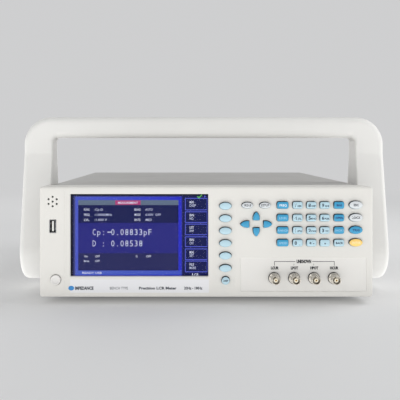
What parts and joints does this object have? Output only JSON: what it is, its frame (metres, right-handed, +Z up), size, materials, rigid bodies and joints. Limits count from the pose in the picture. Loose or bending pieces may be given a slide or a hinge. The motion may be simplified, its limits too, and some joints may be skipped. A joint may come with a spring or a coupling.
{
  "type": "lcr meter",
  "caption": "Bench LCR meter with a colour display, soft keys, keypad, coaxial test jacks, sheet-metal case, rear fan and a swinging carry handle.",
  "frame": {"origin": "centre of the bounding box's footprint, on the plane the four feet stand on", "axes": "+Z up, +X to the right of the front panel, the front panel faces -Y"},
  "size_m": [0.447, 0.4216, 0.212],
  "materials": {
    "bezel_plastic": "fine moulded grain, satin",
    "window_clear": "polished clear window",
    "lcd_frame": "stamped steel frame",
    "key_blue": "satin",
    "key_pale": "satin",
    "key_silver": "satin",
    "key_amber": "satin",
    "circuit_board": "solder mask",
    "socket_shell": "plated steel",
    "nickel": "nickel plated",
    "case_paint": "fine textured powder paint",
    "zinc_sheet": "zinc plated sheet",
    "black_plastic": "moulded",
    "supply_metal": "folded sheet",
    "foot_rubber": "moulded rubber",
    "hub_plastic": "moulded",
    "handle_plastic": "fine moulded grain, satin"
  },
  "bodies": {
    "instrument": {"front_bezel": "bezel_plastic", "display_window": "window_clear", "lcd_module": "lcd_frame", "keypad_board": "circuit_board", "usb_buzzer_board": "socket_shell", "bnc_low_current": "nickel", "bnc_low_potential": "nickel", "bnc_high_potential": "nickel", "bnc_high_current": "nickel", "top_cover": "case_paint", "chassis_tray": "zinc_sheet", "rear_panel": "case_paint", "mains_inlet": "black_plastic", "fan_frame": "black_plastic", "main_board": "circuit_board", "power_supply": "supply_metal", "front_foot_bar": "foot_rubber", "rear_foot_bar": "foot_rubber", "handle_hub_left": "hub_plastic", "handle_hub_right": "hub_plastic"},
    "handle": {"carry_handle": "handle_plastic"},
    "rotor": {"fan_rotor": "black_plastic"},
    "power_button_cap": {"power_button": "key_silver"},
    "key_soft_1_cap": {"key_soft_1": "key_pale"},
    "key_soft_2_cap": {"key_soft_2": "key_pale"},
    "key_soft_3_cap": {"key_soft_3": "key_pale"},
    "key_soft_4_cap": {"key_soft_4": "key_pale"},
    "key_soft_5_cap": {"key_soft_5": "key_pale"},
    "key_soft_6_cap": {"key_soft_6": "key_pale"},
    "key_display_cap": {"key_display": "key_pale"},
    "key_measure_cap": {"key_measure": "key_silver"},
    "key_setup_cap": {"key_setup": "key_silver"},
    "key_arrow_up_cap": {"key_arrow_up": "key_blue"},
    "key_arrow_left_cap": {"key_arrow_left": "key_blue"},
    "key_arrow_right_cap": {"key_arrow_right": "key_blue"},
    "key_arrow_down_cap": {"key_arrow_down": "key_blue"},
    "key_frequency_cap": {"key_frequency": "key_blue"},
    "key_level_cap": {"key_level": "key_blue"},
    "key_range_cap": {"key_range": "key_blue"},
    "key_speed_cap": {"key_speed": "key_blue"},
    "key_7_cap": {"key_7": "key_pale"},
    "key_4_cap": {"key_4": "key_pale"},
    "key_1_cap": {"key_1": "key_pale"},
    "key_0_cap": {"key_0": "key_pale"},
    "key_8_cap": {"key_8": "key_pale"},
    "key_5_cap": {"key_5": "key_pale"},
    "key_2_cap": {"key_2": "key_pale"},
    "key_sign_cap": {"key_sign": "key_pale"},
    "key_9_cap": {"key_9": "key_pale"},
    "key_6_cap": {"key_6": "key_pale"},
    "key_3_cap": {"key_3": "key_pale"},
    "key_point_cap": {"key_point": "key_pale"},
    "key_bias_cap": {"key_bias": "key_blue"},
    "key_open_cap": {"key_open": "key_blue"},
    "key_short_cap": {"key_short": "key_blue"},
    "key_back_cap": {"key_back": "key_pale"},
    "key_escape_cap": {"key_escape": "key_silver"},
    "key_lock_cap": {"key_lock": "key_silver"},
    "key_trigger_cap": {"key_trigger": "key_blue"},
    "key_enter_cap": {"key_enter": "key_amber"}
  },
  "joints": [
    {"name": "handle_swing", "type": "hinge", "parent": "instrument", "child": "handle", "pos_m": [0, -0.1032, 0.048], "axis": [1, 0, 0], "range_deg": [-45, 150]},
    {"name": "fan_rotor_spin", "type": "hinge", "parent": "instrument", "child": "rotor", "pos_m": [-0.058, 0.1858, 0.072], "axis": [0, 1, 0], "continuous": true},
    {"name": "power_button_press", "type": "slide", "parent": "instrument", "child": "power_button_cap", "axis": [0, 1, 0], "range_m": [0, 0.0015], "stiffness_N_per_m": 600, "springref_m": -0.001},
    {"name": "key_soft_1_press", "type": "slide", "parent": "instrument", "child": "key_soft_1_cap", "axis": [0, 1, 0], "range_m": [0, 0.001], "stiffness_N_per_m": 700, "springref_m": -0.001},
    {"name": "key_soft_2_press", "type": "slide", "parent": "instrument", "child": "key_soft_2_cap", "axis": [0, 1, 0], "range_m": [0, 0.001], "stiffness_N_per_m": 700, "springref_m": -0.001},
    {"name": "key_soft_3_press", "type": "slide", "parent": "instrument", "child": "key_soft_3_cap", "axis": [0, 1, 0], "range_m": [0, 0.001], "stiffness_N_per_m": 700, "springref_m": -0.001},
    {"name": "key_soft_4_press", "type": "slide", "parent": "instrument", "child": "key_soft_4_cap", "axis": [0, 1, 0], "range_m": [0, 0.001], "stiffness_N_per_m": 700, "springref_m": -0.001},
    {"name": "key_soft_5_press", "type": "slide", "parent": "instrument", "child": "key_soft_5_cap", "axis": [0, 1, 0], "range_m": [0, 0.001], "stiffness_N_per_m": 700, "springref_m": -0.001},
    {"name": "key_soft_6_press", "type": "slide", "parent": "instrument", "child": "key_soft_6_cap", "axis": [0, 1, 0], "range_m": [0, 0.001], "stiffness_N_per_m": 700, "springref_m": -0.001},
    {"name": "key_display_press", "type": "slide", "parent": "instrument", "child": "key_display_cap", "axis": [0, 1, 0], "range_m": [0, 0.001], "stiffness_N_per_m": 700, "springref_m": -0.001},
    {"name": "key_measure_press", "type": "slide", "parent": "instrument", "child": "key_measure_cap", "axis": [0, 1, 0], "range_m": [0, 0.001], "stiffness_N_per_m": 700, "springref_m": -0.001},
    {"name": "key_setup_press", "type": "slide", "parent": "instrument", "child": "key_setup_cap", "axis": [0, 1, 0], "range_m": [0, 0.001], "stiffness_N_per_m": 700, "springref_m": -0.001},
    {"name": "key_arrow_up_press", "type": "slide", "parent": "instrument", "child": "key_arrow_up_cap", "axis": [0, 1, 0], "range_m": [0, 0.001], "stiffness_N_per_m": 700, "springref_m": -0.001},
    {"name": "key_arrow_left_press", "type": "slide", "parent": "instrument", "child": "key_arrow_left_cap", "axis": [0, 1, 0], "range_m": [0, 0.001], "stiffness_N_per_m": 700, "springref_m": -0.001},
    {"name": "key_arrow_right_press", "type": "slide", "parent": "instrument", "child": "key_arrow_right_cap", "axis": [0, 1, 0], "range_m": [0, 0.001], "stiffness_N_per_m": 700, "springref_m": -0.001},
    {"name": "key_arrow_down_press", "type": "slide", "parent": "instrument", "child": "key_arrow_down_cap", "axis": [0, 1, 0], "range_m": [0, 0.001], "stiffness_N_per_m": 700, "springref_m": -0.001},
    {"name": "key_frequency_press", "type": "slide", "parent": "instrument", "child": "key_frequency_cap", "axis": [0, 1, 0], "range_m": [0, 0.001], "stiffness_N_per_m": 700, "springref_m": -0.001},
    {"name": "key_level_press", "type": "slide", "parent": "instrument", "child": "key_level_cap", "axis": [0, 1, 0], "range_m": [0, 0.001], "stiffness_N_per_m": 700, "springref_m": -0.001},
    {"name": "key_range_press", "type": "slide", "parent": "instrument", "child": "key_range_cap", "axis": [0, 1, 0], "range_m": [0, 0.001], "stiffness_N_per_m": 700, "springref_m": -0.001},
    {"name": "key_speed_press", "type": "slide", "parent": "instrument", "child": "key_speed_cap", "axis": [0, 1, 0], "range_m": [0, 0.001], "stiffness_N_per_m": 700, "springref_m": -0.001},
    {"name": "key_7_press", "type": "slide", "parent": "instrument", "child": "key_7_cap", "axis": [0, 1, 0], "range_m": [0, 0.001], "stiffness_N_per_m": 700, "springref_m": -0.001},
    {"name": "key_4_press", "type": "slide", "parent": "instrument", "child": "key_4_cap", "axis": [0, 1, 0], "range_m": [0, 0.001], "stiffness_N_per_m": 700, "springref_m": -0.001},
    {"name": "key_1_press", "type": "slide", "parent": "instrument", "child": "key_1_cap", "axis": [0, 1, 0], "range_m": [0, 0.001], "stiffness_N_per_m": 700, "springref_m": -0.001},
    {"name": "key_0_press", "type": "slide", "parent": "instrument", "child": "key_0_cap", "axis": [0, 1, 0], "range_m": [0, 0.001], "stiffness_N_per_m": 700, "springref_m": -0.001},
    {"name": "key_8_press", "type": "slide", "parent": "instrument", "child": "key_8_cap", "axis": [0, 1, 0], "range_m": [0, 0.001], "stiffness_N_per_m": 700, "springref_m": -0.001},
    {"name": "key_5_press", "type": "slide", "parent": "instrument", "child": "key_5_cap", "axis": [0, 1, 0], "range_m": [0, 0.001], "stiffness_N_per_m": 700, "springref_m": -0.001},
    {"name": "key_2_press", "type": "slide", "parent": "instrument", "child": "key_2_cap", "axis": [0, 1, 0], "range_m": [0, 0.001], "stiffness_N_per_m": 700, "springref_m": -0.001},
    {"name": "key_sign_press", "type": "slide", "parent": "instrument", "child": "key_sign_cap", "axis": [0, 1, 0], "range_m": [0, 0.001], "stiffness_N_per_m": 700, "springref_m": -0.001},
    {"name": "key_9_press", "type": "slide", "parent": "instrument", "child": "key_9_cap", "axis": [0, 1, 0], "range_m": [0, 0.001], "stiffness_N_per_m": 700, "springref_m": -0.001},
    {"name": "key_6_press", "type": "slide", "parent": "instrument", "child": "key_6_cap", "axis": [0, 1, 0], "range_m": [0, 0.001], "stiffness_N_per_m": 700, "springref_m": -0.001},
    {"name": "key_3_press", "type": "slide", "parent": "instrument", "child": "key_3_cap", "axis": [0, 1, 0], "range_m": [0, 0.001], "stiffness_N_per_m": 700, "springref_m": -0.001},
    {"name": "key_point_press", "type": "slide", "parent": "instrument", "child": "key_point_cap", "axis": [0, 1, 0], "range_m": [0, 0.001], "stiffness_N_per_m": 700, "springref_m": -0.001},
    {"name": "key_bias_press", "type": "slide", "parent": "instrument", "child": "key_bias_cap", "axis": [0, 1, 0], "range_m": [0, 0.001], "stiffness_N_per_m": 700, "springref_m": -0.001},
    {"name": "key_open_press", "type": "slide", "parent": "instrument", "child": "key_open_cap", "axis": [0, 1, 0], "range_m": [0, 0.001], "stiffness_N_per_m": 700, "springref_m": -0.001},
    {"name": "key_short_press", "type": "slide", "parent": "instrument", "child": "key_short_cap", "axis": [0, 1, 0], "range_m": [0, 0.001], "stiffness_N_per_m": 700, "springref_m": -0.001},
    {"name": "key_back_press", "type": "slide", "parent": "instrument", "child": "key_back_cap", "axis": [0, 1, 0], "range_m": [0, 0.001], "stiffness_N_per_m": 700, "springref_m": -0.001},
    {"name": "key_escape_press", "type": "slide", "parent": "instrument", "child": "key_escape_cap", "axis": [0, 1, 0], "range_m": [0, 0.001], "stiffness_N_per_m": 700, "springref_m": -0.001},
    {"name": "key_lock_press", "type": "slide", "parent": "instrument", "child": "key_lock_cap", "axis": [0, 1, 0], "range_m": [0, 0.001], "stiffness_N_per_m": 700, "springref_m": -0.001},
    {"name": "key_trigger_press", "type": "slide", "parent": "instrument", "child": "key_trigger_cap", "axis": [0, 1, 0], "range_m": [0, 0.001], "stiffness_N_per_m": 700, "springref_m": -0.001},
    {"name": "key_enter_press", "type": "slide", "parent": "instrument", "child": "key_enter_cap", "axis": [0, 1, 0], "range_m": [0, 0.001], "stiffness_N_per_m": 700, "springref_m": -0.001}
  ]
}
